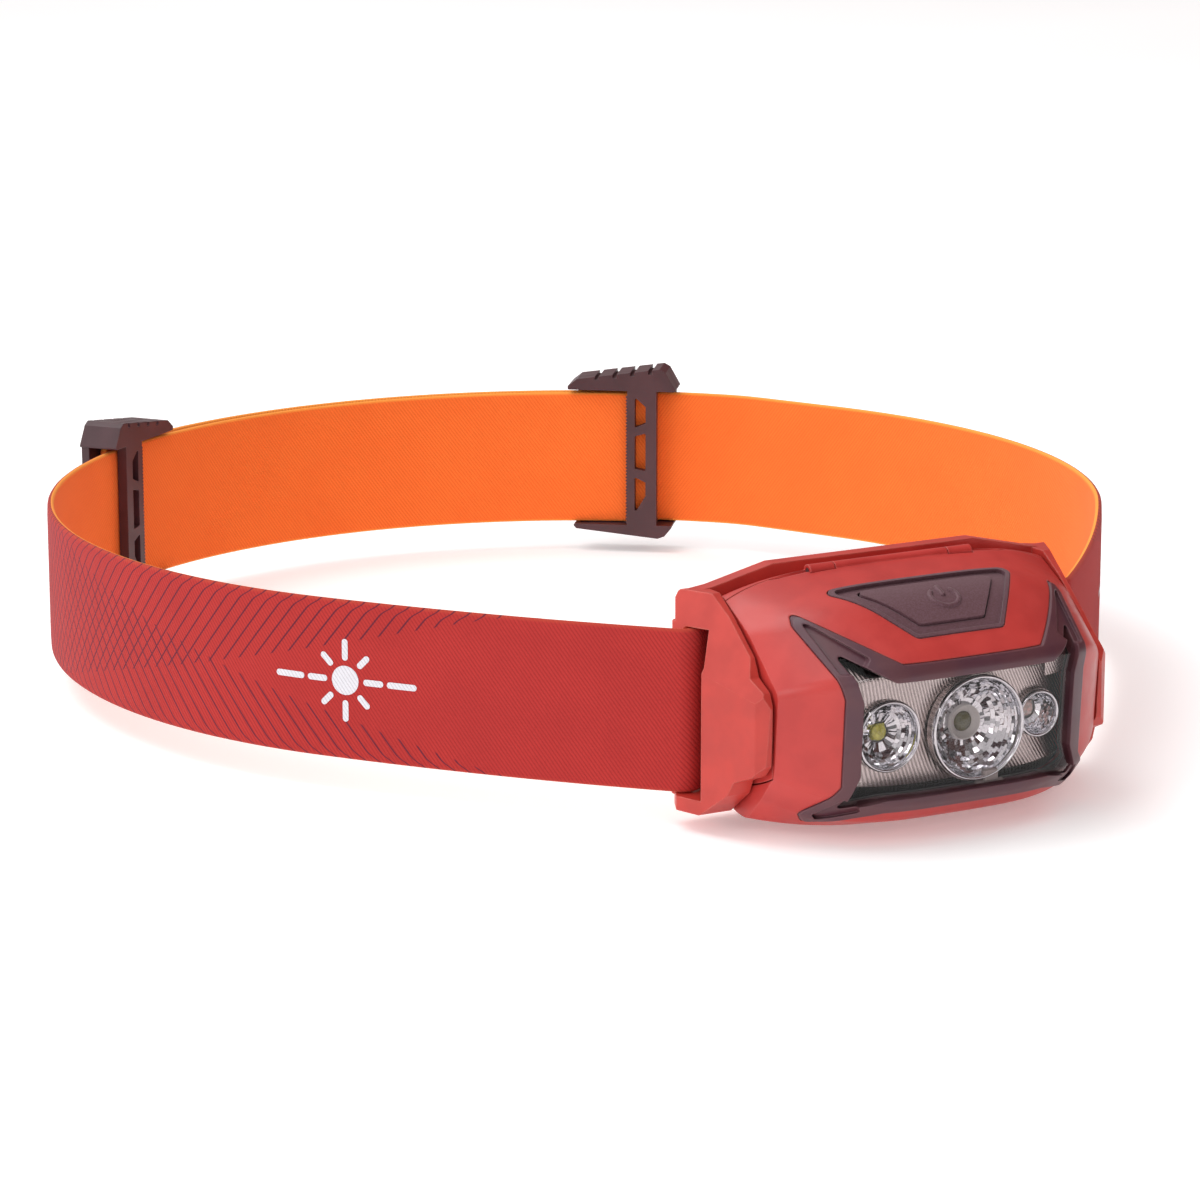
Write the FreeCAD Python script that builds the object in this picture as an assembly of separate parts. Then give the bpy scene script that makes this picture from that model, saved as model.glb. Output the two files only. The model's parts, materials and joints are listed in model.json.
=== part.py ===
"""Headlamp on an elastic headband: a tilting two-shell lamp, its bracket, a woven strap and two sliders.

Units are millimetres. The lamp faces -Y, +X runs left to right when seen from the front, +Z is up.
The origin is on the flat inner face of the strap behind the lamp, where it meets the forehead, at the
strap's mid-height.
"""

import math
import os

import FreeCAD
import Part

V = FreeCAD.Vector
X_AXIS, Y_AXIS, Z_AXIS = V(1, 0, 0), V(0, 1, 0), V(0, 0, 1)

# --- driving dimensions -------------------------------------------------------------------------------

# Strap: a 25 mm elastic ribbon on a circle of BAND_R round the wearer's head.
STRAP_WIDTH = 25.0
STRAP_T = 1.3
BAND_R = 88.5
BAND_CY = 90.0
BAND_HALF_ARC = 125.0  # degrees of circle on each side of the rear centre
LAYER_STEP = 2.1  # radius gained by the outer of the two rear layers
STEP_BEND_R = 30.0
STEP_START = 62.0  # degrees from the rear centre where the outer layer steps out
LEAVE_ANGLE = 33.0  # the strap's slope from the end bar to the back of the bracket, degrees
BACK_BEND_R = 6.0

# Bracket
BAR_X, BAR_Y, BAR_R = 33.2, -3.6, 1.6
BAR_GAP = 0.15
PLATE_FRONT, PLATE_BACK = -4.0, -1.6
PLATE_WINDOW = [(-20.0, 9.5), (20.0, 9.5), (17.0, -9.0), (-17.0, -9.0)]
EAR_IN = 28.9
EAR_BEVEL_NORMAL = V(0.807, -0.382, 0.449)  # the slanted facet that slims the ear's upper front
EAR_BEVEL_DISTANCE = 34.96  # of that facet from the origin
SLOT_HALF = 12.7
WRAP_R = BAR_R + BAR_GAP + STRAP_T / 2  # the strap's centre line round the end bar
EAR_SIDE = [
    (-1.6, 17.6),
    (-6.9, 17.6),
    (-11.0, 14.9),
    (-17.0, 10.0),
    (-18.4, 7.2),
    (-21.4, 5.6),
    (-22.4, 3.4),
    (-22.0, -5.4),
    (-20.4, -7.2),
    (-17.0, -8.6),
    (-15.9, -10.8),
    (-10.6, -14.9),
    (-1.6, -14.9),
]
EAR_PLAN = [(EAR_IN, -22.8), (31.1, -20.9), (35.8, -6.3), (34.4, -3.4), (33.4, -1.6), (EAR_IN, -1.6)]
BRACKET_FRONT = [
    (18.0, 20.2),
    (28.4, 17.8),
    (33.4, 17.2),
    (33.4, -14.9),
    (-33.4, -14.9),
    (-33.4, 17.2),
    (-28.4, 17.8),
    (-18.0, 20.2),
]
SLOT_PLAN = [
    (38.0, -10.9),
    (33.9, -10.9),
    (30.8, -7.9),
    (24.4, -3.0),
    (21.4, -1.0),
    (21.4, 1.0),
    (38.0, 1.0),
]

# Lamp body: every cross-section blends from the middle outline to the end outline.
BODY_HALF = 28.4
BLEND_POWER = 3.7
WALL = 1.7
PARTING_Y = -7.8
PIVOT_Y, PIVOT_Z = -17.5, -4.5
SWEEP_R = 12.9  # nothing behind the tilt axis reaches further from it, so the lamp clears the bracket
BOTTOM_Z = -16.3
FIT = 0.15  # gap between neighbouring moulded parts

# (y, z, corner radius) of the body outline at mid-width and at its ends
MIDDLE_OUTLINE = [
    (-4.6, 17.5, 1.5),
    (-7.0, 20.1, 3.0),
    (-21.0, 17.4, 14.0),
    (-32.4, 9.2, 2.5),
    (-31.2, -11.0, 2.5),
    (-27.6, -14.9, 3.0),
    (-22.5, BOTTOM_Z, 2.0),
    (PIVOT_Y + SWEEP_R, BOTTOM_Z, SWEEP_R - 1.2),
]
END_OUTLINE = [
    (-4.6, 15.4, 1.2),
    (-6.5, 17.2, 1.5),
    (-14.5, 12.8, 6.0),
    (-22.9, 5.4, 2.0),
    (-22.0, -7.0, 2.0),
    (-18.5, -11.2, 3.0),
    (-14.5, -15.2, 1.6),
    (-4.6, -15.2, 8.8),
]

# Window, bezel and button
BEZEL_OUTLINE = [
    (-22.9, 16.0),
    (-12.1, 9.9),
    (12.1, 9.9),
    (22.9, 16.0),
    (23.7, 14.3),
    (20.9, 5.2),
    (20.9, -8.1),
    (24.6, -12.9),
    (23.0, -14.8),
    (17.3, -13.4),
    (14.0, -12.8),
    (-14.0, -12.8),
    (-17.3, -13.4),
    (-23.0, -14.8),
    (-24.6, -12.9),
    (-20.9, -8.1),
    (-20.9, 5.2),
    (-23.7, 14.3),
]
GLASS_OUTLINE = [
    (-20.6, 11.5),
    (-13.8, 7.5),
    (13.8, 7.5),
    (20.6, 11.5),
    (18.5, 4.7),
    (18.5, -6.6),
    (20.8, -12.0),
    (14.0, -10.4),
    (-14.0, -10.4),
    (-20.8, -12.0),
    (-18.5, -6.6),
    (-18.5, 4.7),
]
SHEET_OUTLINE = [
    (-21.4, 12.4),
    (-14.0, 9.2),
    (14.0, 9.2),
    (21.4, 12.4),
    (20.2, 4.0),
    (20.2, -12.0),
    (-20.2, -12.0),
    (-20.2, 4.0),
]
SHEET_SET_BACK = 1.3
# shallow channels along the frame's left arms, from their tips to the window's corners
CHANNELS = [
    [(-22.6, 14.9), (-21.7, 14.7), (-16.4, 10.8), (-18.6, 9.0), (-21.2, 8.8)],
    [(-20.6, -10.0), (-18.4, -11.0), (-17.4, -12.3), (-22.4, -13.9), (-23.2, -13.0)],
]
CHANNEL_DEPTH = 0.6

# Button, drawn on the sloping top panel as (x, distance down the slope)
BUTTON_SLOPE = math.radians(23.7)  # the top panel's tilt from horizontal at the button
BUTTON_CENTRE = V(0, -21.4, 15.9)
BUTTON_NORMAL = V(0, -math.sin(BUTTON_SLOPE), math.cos(BUTTON_SLOPE))
BUTTON_DOWN = V(0, -math.cos(BUTTON_SLOPE), -math.sin(BUTTON_SLOPE))
BUTTON_OUTER = [(-17.2, -6.6), (17.2, -6.6), (7.6, 7.2), (-7.6, 7.2)]
BUTTON_INNER = [(-12.4, -4.6), (12.4, -4.6), (5.6, 4.5), (-5.6, 4.5)]
BUTTON_TRAVEL = 0.8
POST_LOW = -2.6  # underside of the button's post, below the panel
SWITCH_TOP = POST_LOW - BUTTON_TRAVEL - 0.05
SWITCH_DOWN = 1.0  # the switch sits this far below the pad's middle, clear of the battery pack
SWITCH_BOARD_LOW = SWITCH_TOP - 2.2
SHELF_LOW = SWITCH_BOARD_LOW - 1.0
SHELF_HALF_X = 14.6

# Top hinge, tilt pivot and release latch
HINGE_Y, HINGE_Z = -8.0, 19.4
KNUCKLE_R, HINGE_PIN_R = 1.05, 0.5
KNUCKLE_MID, KNUCKLE_END = 10.0, 14.4
PIN_PLAY = 0.05  # radial clearance of both turning pins
ARM_REACH = 30.0  # radius of the side arm's lower edge about the top hinge
ARM_TOP, ARM_FRONT, ARM_REAR = -0.6, -21.4, -7.2
PIVOT_PIN_R, PIVOT_PIN_END = 2.0, 31.0
PIVOT_HEAD_R, PIVOT_HEAD_T = 2.8, 0.7
LATCH_HALF_X, LATCH_FRONT, LATCH_REAR = 6.5, -15.0, -10.2

# Light sources: (x, z, rim radius, rim y, depth of the cup)
SPOT = (2.3, -1.8, 7.5, -28.7, 3.9)
FLOOD = (-12.4, -1.6, 4.9, -27.2, 2.5)
RED = (13.9, -1.4, 3.1, -27.4, 2.7)
CUP_WALL = 0.6
CUP_STEPS = 9
THROAT_R = 1.7
LED_BOARD_Y = -24.2  # front face of the LED board
LED_BOARD_T = 1.0
SCREW_PLACES = [(-14.6, 5.0), (-14.6, -6.2), (14.6, 5.0), (14.6, -6.2)]
DRIVER_FRONT, DRIVER_REAR = -19.15, -18.35
CARRIER_FRONT, CARRIER_REAR = -18.3, -17.3

# Battery pack, kept in the rear half of the lamp
PACK_HALF_X = 24.0
PACK_REAR, PACK_FRONT = -7.6, -16.8
PACK_BOTTOM, PACK_TOP = -10.3, 12.4
PACK_CORNER = 4.4
PACK_WALL = 0.9
USB_Z = 2.5
TERMINAL_X = 21.0

# Sliders, placed on the strap's circle
SLIDER_ANGLE = 37.3  # degrees from the rear centre
CHANNEL_IN, CHANNEL_OUT = 87.55, 91.6
LADDER_T = 1.8
OUTER_BAR_T = 1.5
RAIL_TOP, RAIL_BOTTOM = 13.3, -12.7  # the rails' faces towards the strap
UPPER_RAIL = [
    (6.6, RAIL_TOP),
    (4.5, 17.0),
    (3.4, 17.6),
    (-12.4, 15.4),
    (-14.2, 14.0),
    (-14.2, RAIL_TOP),
]
LOWER_RAIL = [(6.0, RAIL_BOTTOM), (4.4, -14.7), (3.1, -15.2), (-12.6, -13.6), (-13.4, RAIL_BOTTOM)]
RAIL_OVERLAP = 0.3  # how far the ladder and the outer bars reach into the rails
OUTER_BARS = [(-13.0, -11.2), (-1.2, 5.8)]
LADDER_HALF = 2.8
TOOTH_PITCH, TOOTH_DEPTH = 0.62, 0.3
GRIP_GROOVES, GRIP_START, GRIP_PITCH = 4, -9.0, 3.4
GRIP_FLOOR, GRIP_RISE = 15.3, 0.42  # height of the first groove's floor, and the step to the next
ANCHOR_DEGREES = 1.6  # how far a strap end reaches past the slider's centre


# --- general helpers ----------------------------------------------------------------------------------


def corner(before, at, after, radius):
    """The two tangent points and the mid-point of the arc that rounds the corner `at`."""
    a = V(before[0] - at[0], before[1] - at[1], 0)
    b = V(after[0] - at[0], after[1] - at[1], 0)
    a.normalize()
    b.normalize()
    half = a.getAngle(b) / 2
    reach = radius / math.tan(half)
    bisector = a + b
    bisector.normalize()
    centre_distance = radius / math.sin(half)
    point = V(at[0], at[1], 0)
    middle = point + bisector * (centre_distance - radius)
    return point + a * reach, middle, point + b * reach


def rounded_wire(points, place):
    """A closed wire of lines and corner arcs. points are (u, v, radius); place maps (u, v) into space."""
    n = len(points)
    arcs = [corner(points[i - 1], points[i], points[(i + 1) % n], points[i][2]) for i in range(n)]
    edges = []
    for i in range(n):
        start, middle, end = [place(p.x, p.y) for p in arcs[i]]
        edges.append(Part.Arc(start, middle, end).toShape())
        edges.append(Part.makeLine(end, place(arcs[(i + 1) % n][0].x, arcs[(i + 1) % n][0].y)))
    return Part.Wire(edges)


def with_radius(points, radius):
    return [(u, v, radius) for u, v in points]


def prism(points, place, direction):
    """A solid swept along `direction` from a rounded outline."""
    return Part.Face(rounded_wire(points, place)).extrude(direction)


def block(x0, x1, y0, y1, z0, z1):
    return Part.makeBox(x1 - x0, y1 - y0, z1 - z0, V(x0, y0, z0))


def rod(radius, start, end):
    along = end - start
    return Part.makeCylinder(radius, along.Length, start, along)


def mirrored(shape):
    return shape.mirror(V(0, 0, 0), X_AXIS)


def inset_outline(points, distance):
    """Moves every side of a clockwise-ordered polygon inwards. points are (u, v, radius)."""
    n = len(points)
    sides = []
    for i in range(n):
        p, q = points[i], points[(i + 1) % n]
        du, dv = q[0] - p[0], q[1] - p[1]
        length = math.hypot(du, dv)
        nu, nv = -dv / length, du / length
        sides.append((p[0] + nu * distance, p[1] + nv * distance, du / length, dv / length))
    result = []
    for i in range(n):
        u1, v1, a1, b1 = sides[i - 1]
        u2, v2, a2, b2 = sides[i]
        cross = a1 * b2 - b1 * a2
        t = ((u2 - u1) * b2 - (v2 - v1) * a2) / cross
        result.append((u1 + a1 * t, v1 + b1 * t, max(points[i][2] - distance, 0.3)))
    return result


# --- lamp body ----------------------------------------------------------------------------------------


def body_outline(x, inset):
    s = (abs(x) / BODY_HALF) ** BLEND_POWER
    blended = [
        tuple(m + (e - m) * s for m, e in zip(middle, end))
        for middle, end in zip(MIDDLE_OUTLINE, END_OUTLINE)
    ]
    return inset_outline(blended, inset)


def body_solid(inset):
    """The lamp's outer form, moved inwards by inset."""
    half = BODY_HALF - max(inset, 0.0)
    stations = [0.0, 0.28, 0.5, 0.66, 0.78, 0.87, 0.94, 1.0]
    xs = sorted({sign * half * t for t in stations for sign in (-1, 1)})
    wires = [
        rounded_wire(body_outline(x, inset), lambda y, z, x=x: V(x, y, z))
        for x in xs
    ]
    return Part.makeLoft(wires, True, False)


def behind_front():
    """The space behind the window's frame, up to a sloping limit."""
    limit = [V(-40, -13.5, 20), V(-40, -19.5, -13), V(-40, -19.5, -20), V(-40, 0, -20), V(-40, 0, 20)]
    return Part.Face(Part.makePolygon(limit + limit[:1])).extrude(V(80, 0, 0))


def front_prism(outline, radius, grow=0.0):
    """Sweeps a front-view outline through the lamp's front half. grow moves its sides outwards."""
    points = with_radius(outline, radius)
    if grow:
        points = [(u, v, radius) for u, v, _ in inset_outline(points, grow)]
    swept = prism(points, lambda x, z: V(x, -40, z), V(0, 30, 0))
    return swept.cut(behind_front())


def on_panel(x, down, height=0.0):
    return BUTTON_CENTRE + X_AXIS * x + BUTTON_DOWN * down + BUTTON_NORMAL * height


def panel_prism(outline, radius, low, high, grow=0.0):
    """Sweeps an outline drawn on the top panel along the panel's normal."""
    points = with_radius(outline, radius)
    if grow:
        points = [(u, v, radius) for u, v, _ in inset_outline(points, -grow)]
    return prism(points, lambda x, d: on_panel(x, d, low), BUTTON_NORMAL * (high - low))


def arm_region(gap):
    """The side arm of the rear half, made wider by gap.

    Its lower edge is round about the top hinge, so the front half can swing open.
    """
    top, front = ARM_TOP + gap, ARM_FRONT - gap
    x0 = BODY_HALF - WALL + 0.05 - gap
    x1 = BODY_HALF - 0.05 + 4 * gap

    def low(y):
        return V(x0, y, HINGE_Z - math.sqrt((ARM_REACH + gap) ** 2 - (y - HINGE_Y) ** 2))

    edges = [
        Part.makeLine(V(x0, ARM_REAR, top), V(x0, front, top)),
        Part.makeLine(V(x0, front, top), low(front)),
        Part.Arc(low(front), low((front + ARM_REAR) / 2), low(ARM_REAR)).toShape(),
        Part.makeLine(low(ARM_REAR), V(x0, ARM_REAR, top)),
    ]
    return Part.Face(Part.Wire(edges)).extrude(V(x1 - x0, 0, 0))


def knuckle(x0, x1, radius=KNUCKLE_R):
    return rod(radius, V(x0, HINGE_Y, HINGE_Z), V(x1, HINGE_Y, HINGE_Z))


def outer_knuckles(radius, gap):
    right = knuckle(KNUCKLE_MID + FIT - gap, KNUCKLE_END + gap, radius)
    return right.fuse(mirrored(right))


def build_shells(outer, inner):
    """front_shell and rear_cover: the two halves of the lamp, hinged along the top."""
    skin = outer.cut(inner)
    front_half = block(-40, 40, -45, PARTING_Y - FIT / 2, -30, 30)
    rear_half = block(-40, 40, PARTING_Y + FIT / 2, 0, -30, 30)
    relief = knuckle(-BODY_HALF, BODY_HALF, 0.6)
    bore = knuckle(-KNUCKLE_END - 1, KNUCKLE_END + 1, HINGE_PIN_R + PIN_PLAY)

    front = skin.common(front_half)
    front = front.cut(front_prism(BEZEL_OUTLINE, 0.9))
    front = front.cut(panel_prism(BUTTON_OUTER, 1.3, -6, 6))
    for arm in (arm_region(0.2), mirrored(arm_region(0.2))):
        front = front.cut(arm)
    front = front.cut(latch_opening(0.0))
    front = front.cut(relief)
    front = front.fuse(knuckle(-KNUCKLE_MID, KNUCKLE_MID))
    front = front.cut(outer_knuckles(KNUCKLE_R + 0.2, FIT)).cut(bore)
    front = front.fuse(switch_shelf())

    rear = skin.common(rear_half)
    for arm in (arm_region(0.0), mirrored(arm_region(0.0))):
        rear = rear.fuse(arm)
    rear = rear.cut(relief)
    rear = rear.cut(knuckle(-KNUCKLE_MID - FIT, KNUCKLE_MID + FIT, KNUCKLE_R + 0.2))
    rear = rear.fuse(outer_knuckles(KNUCKLE_R, 0.0)).cut(bore)
    rear = rear.cut(tilt_rod(PIVOT_PIN_R, -40, 40))
    return front.removeSplitter(), rear.removeSplitter()


def tilt_rod(radius, x0, x1):
    return rod(radius, V(x0, PIVOT_Y, PIVOT_Z), V(x1, PIVOT_Y, PIVOT_Z))


def pivot_pin():
    """A headed pin that turns in the bracket's ear and is pressed into the rear half's arm."""
    wall_x = BODY_HALF - WALL
    shank = tilt_rod(PIVOT_PIN_R, wall_x, PIVOT_PIN_END)
    return shank.fuse(tilt_rod(PIVOT_HEAD_R, wall_x - PIVOT_HEAD_T, wall_x))


def latch_opening(gap):
    return block(
        -LATCH_HALF_X + gap, LATCH_HALF_X - gap, LATCH_FRONT + gap, LATCH_REAR - gap, -20, -11
    )


def latch(outer, inner):
    """The press tab under the lamp that releases the front half."""
    tab = outer.cut(inner).common(latch_opening(0.2))
    ribs = [block(-4.5, 4.5, y, y + 0.6, -18.3, -14) for y in (-14.0, -12.6, -11.2)]
    proud = body_solid(-0.3)
    for rib in ribs:
        tab = tab.fuse(rib.common(proud).cut(inner))
    return tab.removeSplitter()


# --- window, reflector and lights ---------------------------------------------------------------------


def bezel():
    """The raised frame round the window, with a channel along each of its four arms."""
    frame = body_solid(-0.35).cut(body_solid(2.3)).common(front_prism(BEZEL_OUTLINE, 0.9, -0.05))
    frame = frame.cut(front_prism(GLASS_OUTLINE, 0.5))
    floor = body_solid(CHANNEL_DEPTH - 0.35)
    for outline in CHANNELS:
        channel = front_prism(outline, 0.3).cut(floor)
        frame = frame.cut(channel).cut(mirrored(channel))
    return frame


def cup_profile(rim_radius, depth, extra):
    """A parabolic cup about its own axis, as points (distance behind the rim, radius)."""
    points = []
    for i in range(CUP_STEPS + 1):
        share = i / CUP_STEPS
        r = THROAT_R + (rim_radius - THROAT_R) * math.sqrt(1 - share)
        points.append((depth * share, r + extra))
    return points


def cup_solid(light, extra=0.0, lead=0.0):
    """The space inside a cup, made wider by extra, starting lead in front of the rim."""
    x, z, rim_radius, rim_y, depth = light
    points = [V(x + r, rim_y + d, z) for d, r in cup_profile(rim_radius, depth, extra)]
    if lead:
        points.insert(0, V(x + rim_radius + extra, rim_y - lead, z))
    points += [V(x, rim_y + depth, z), V(x, rim_y - lead, z)]
    face = Part.Face(Part.makePolygon(points + points[:1]))
    return face.revolve(V(x, 0, z), Y_AXIS, 360)


def build_reflector():
    """A metallised sheet behind the window, with one cup for each light."""
    front = body_solid(3.0)
    sheet = front.cut(front.translated(V(0, 0.7, 0))).translated(V(0, SHEET_SET_BACK, 0))
    sheet = sheet.common(front_prism(SHEET_OUTLINE, 0.6))
    result = sheet
    for light in (SPOT, FLOOD, RED):
        x, z, rim_radius, rim_y, _ = light
        rim = rod(rim_radius + CUP_WALL, V(x, rim_y - 0.4, z), V(x, rim_y + 0.8, z))
        result = result.fuse(rim).fuse(cup_solid(light, CUP_WALL))
    for light in (SPOT, FLOOD, RED):
        result = result.cut(cup_solid(light, 0.0, 2.0))
    return result.removeSplitter()


def led(light, half, dome):
    """A surface-mount LED: a square package with a clear dome, standing on the LED board."""
    x, z = light[0], light[1]
    base = block(x - half, x + half, LED_BOARD_Y - 0.5, LED_BOARD_Y, z - half, z + half)
    ball = Part.makeSphere(dome, V(x, LED_BOARD_Y - 0.6, z))
    return base.fuse(ball.common(block(x - 2, x + 2, LED_BOARD_Y - 2, LED_BOARD_Y - 0.3, z - 2, z + 2)))


def board_outline(half_x, low, high, front, rear, radius):
    points = with_radius([(-half_x, high), (half_x, high), (half_x, low), (-half_x, low)], radius)
    return prism(points, lambda x, z: V(x, front, z), V(0, rear - front, 0))


def led_board():
    board = board_outline(17.4, -8.8, 7.0, LED_BOARD_Y, LED_BOARD_Y + LED_BOARD_T, 1.5)
    for x, z in SCREW_PLACES:
        board = board.cut(rod(0.9, V(x, LED_BOARD_Y - 2, z), V(x, LED_BOARD_Y + 3, z)))
    return board


def board_screws():
    """Four small pan-head screws that hold the LED board to the carrier."""
    solids = []
    for x, z in SCREW_PLACES:
        head = rod(1.4, V(x, LED_BOARD_Y - 0.95, z), V(x, LED_BOARD_Y - 0.02, z))
        screw = head.fuse(rod(0.8, V(x, LED_BOARD_Y - 0.1, z), V(x, LED_BOARD_Y + 2.6, z)))
        for half_x, half_z in ((1.0, 0.2), (0.2, 1.0)):
            front, floor = LED_BOARD_Y - 1.2, LED_BOARD_Y - 0.6
            screw = screw.cut(block(x - half_x, x + half_x, front, floor, z - half_z, z + half_z))
        solids.append(screw)
    return Part.Compound(solids)


def driver_board():
    """The driver circuit behind the LED board, with its inductor and chips."""
    board = board_outline(12.8, -11.4, 8.4, DRIVER_FRONT, DRIVER_REAR, 1.0)
    chips = [
        block(-6.0, -2.0, DRIVER_FRONT - 0.2, DRIVER_FRONT, 7.0, 8.2),
        block(2.0, 7.5, DRIVER_FRONT - 1.6, DRIVER_FRONT, 7.0, 8.2),
        block(-12.0, -8.5, DRIVER_FRONT - 1.2, DRIVER_FRONT, -11.2, -9.9),
        block(8.0, 12.0, DRIVER_FRONT - 1.2, DRIVER_FRONT, -11.2, -9.9),
    ]
    for chip in chips:
        board = board.fuse(chip)
    return board.removeSplitter()


def carrier():
    """The moulded wall between the battery bay and the electronics."""
    wall = board_outline(24.4, -12.4, 9.4, CARRIER_FRONT, CARRIER_REAR, 2.0)
    for x, z in SCREW_PLACES:
        boss = rod(1.6, V(x, LED_BOARD_Y + LED_BOARD_T, z), V(x, CARRIER_REAR, z))
        wall = wall.fuse(boss).cut(rod(0.85, V(x, LED_BOARD_Y, z), V(x, LED_BOARD_Y + 2.8, z)))
    return wall.removeSplitter()


def contacts():
    """Two sprung leaves that touch the battery pack's terminals."""
    leaves = []
    for x in (-TERMINAL_X, TERMINAL_X):
        leaf = block(x - 1.6, x + 1.6, -17.25, -16.95, -3.0, 5.0)
        leaves.append(leaf.fuse(block(x - 1.6, x + 1.6, -17.25, -16.85, 0.0, 2.0)))
    return Part.Compound(leaves)


# --- button -------------------------------------------------------------------------------------------


def power_button():
    """The pad that moves, with a post over the switch."""
    skin = body_solid(0.1).cut(body_solid(2.1))
    pad = skin.common(panel_prism(BUTTON_INNER, 1.0, -6, 6))
    post = rod(1.5, on_panel(0, SWITCH_DOWN, POST_LOW), on_panel(0, SWITCH_DOWN, -1.2))
    return pad.fuse(post).removeSplitter()


def button_seal():
    """The soft frame moulded round the moving pad."""
    region = panel_prism(BUTTON_OUTER, 1.3, -6, 6, -0.08)
    frame = body_solid(0.45).cut(body_solid(1.7)).common(region)
    lip = body_solid(-0.15).cut(body_solid(1.0)).common(region)
    lip = lip.cut(panel_prism(BUTTON_OUTER, 1.0, -7, 7, -0.7))
    return frame.fuse(lip).cut(panel_prism(BUTTON_INNER, 1.0, -7, 7, FIT)).removeSplitter()


def switch_box(half_x, half_d, low, high):
    """A box square to the button's travel, centred below the pad."""
    top, bottom = SWITCH_DOWN - half_d, SWITCH_DOWN + half_d
    outline = [(-half_x, top), (half_x, top), (half_x, bottom), (-half_x, bottom)]
    return panel_prism(outline, 0.3, low, high)


def switch_board():
    return switch_box(6.5, 2.2, SWITCH_BOARD_LOW, SWITCH_BOARD_LOW + 0.8)


def tactile_switch():
    """A low square switch with a round actuator, on its own small board."""
    body = switch_box(2.1, 2.1, SWITCH_BOARD_LOW + 0.8, SWITCH_TOP - 0.4)
    cap = rod(1.1, on_panel(0, SWITCH_DOWN, SWITCH_TOP - 0.5), on_panel(0, SWITCH_DOWN, SWITCH_TOP))
    return body.fuse(cap)


def switch_shelf():
    """A bridge under the top panel, part of the front shell, that carries the switch board."""
    shelf = switch_box(SHELF_HALF_X, 2.2, SHELF_LOW, SWITCH_BOARD_LOW)
    hanger = switch_box(SHELF_HALF_X, 2.2, SHELF_LOW, -1.6)
    return shelf.fuse(hanger.cut(switch_box(SHELF_HALF_X - 1.6, 5.0, SHELF_LOW - 1, 1)))


# --- battery pack -------------------------------------------------------------------------------------


def pack_solid(inset):
    r = PACK_CORNER - inset
    points = [
        (PACK_REAR - inset, PACK_TOP - inset, r),
        (PACK_FRONT + inset, PACK_TOP - inset, r),
        (PACK_FRONT + inset, PACK_BOTTOM + inset, r),
        (PACK_REAR - inset, PACK_BOTTOM + inset, r),
    ]
    half = PACK_HALF_X - inset
    return prism(points, lambda y, z: V(-half, y, z), V(2 * half, 0, 0))


def battery_case():
    """The pack's shell, with an opening in its end for the charging socket."""
    case = pack_solid(0).cut(pack_solid(PACK_WALL))
    case = case.cut(block(PACK_HALF_X - 2, PACK_HALF_X + 1, -12.7, -10.7, USB_Z - 4.0, USB_Z + 4.0))
    for x in (-TERMINAL_X, TERMINAL_X):
        case = case.cut(block(x - 2.0, x + 2.0, PACK_FRONT - 1, PACK_FRONT + 1.2, -1.0, 3.0))
    return case


def battery_cell():
    points = [(-9.0, 9.6, 1.2), (-14.8, 9.6, 1.2), (-14.8, -7.4, 1.2), (-9.0, -7.4, 1.2)]
    return prism(points, lambda y, z: V(-22.4, y, z), V(38.0, 0, 0))


def battery_board():
    return block(16.2, 22.8, -13.3, -12.5, -5.6, 8.6)


def usb_socket():
    shell = block(18.6, PACK_HALF_X, -12.5, -10.9, USB_Z - 3.7, USB_Z + 3.7)
    return shell.cut(block(19.6, PACK_HALF_X + 1, -12.25, -11.15, USB_Z - 3.4, USB_Z + 3.4))


def battery_terminals():
    front = PACK_FRONT + 0.05
    pads = [block(x - 1.8, x + 1.8, front, front + 0.55, -0.9, 2.9) for x in (-TERMINAL_X, TERMINAL_X)]
    return Part.Compound(pads)


# --- bracket ------------------------------------------------------------------------------------------


def ear():
    """One side of the bracket: it carries the tilt pivot in front and the strap slot behind."""
    side = prism(with_radius(EAR_SIDE, 0.5), lambda y, z: V(EAR_IN, y, z), V(8, 0, 0))
    plan = prism(with_radius(EAR_PLAN, 0.3), lambda x, y: V(x, y, -30), V(0, 0, 60))
    return side.common(plan)


def ear_bevel():
    """Everything outside the ear's slanted facet, as a large block."""
    turn = FreeCAD.Rotation(Z_AXIS, EAR_BEVEL_NORMAL)
    corner_at = EAR_BEVEL_NORMAL * EAR_BEVEL_DISTANCE + turn.multVec(V(-40, -40, 0))
    beyond = Part.makeBox(80, 80, 20)
    beyond.Placement = FreeCAD.Placement(corner_at, turn)
    return beyond


def bracket():
    """The part worn on the strap: a plate between two ears that hold the lamp's pivot pins."""
    depth = V(0, PLATE_BACK - PLATE_FRONT, 0)
    plate = prism(with_radius(BRACKET_FRONT, 1.0), lambda x, z: V(x, PLATE_FRONT, z), depth)
    shape = plate.fuse(ear()).fuse(mirrored(ear()))
    shape = shape.cut(prism(with_radius(PLATE_WINDOW, 3.0), lambda x, z: V(x, -6, z), V(0, 6, 0)))
    slot = prism(with_radius(SLOT_PLAN, 0.2), lambda x, y: V(x, y, -SLOT_HALF), V(0, 0, 2 * SLOT_HALF))
    bar = rod(BAR_R, V(BAR_X, BAR_Y, -SLOT_HALF - 0.5), V(BAR_X, BAR_Y, SLOT_HALF + 0.5))
    hole = tilt_rod(PIVOT_PIN_R + PIN_PLAY, EAR_IN - 1, PIVOT_PIN_END + 0.1)
    bevel = ear_bevel()
    shape = shape.cut(slot).fuse(bar).cut(hole).cut(bevel)
    shape = shape.cut(mirrored(slot)).fuse(mirrored(bar)).cut(mirrored(hole)).cut(mirrored(bevel))
    return shape.removeSplitter()


# --- strap --------------------------------------------------------------------------------------------


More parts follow.
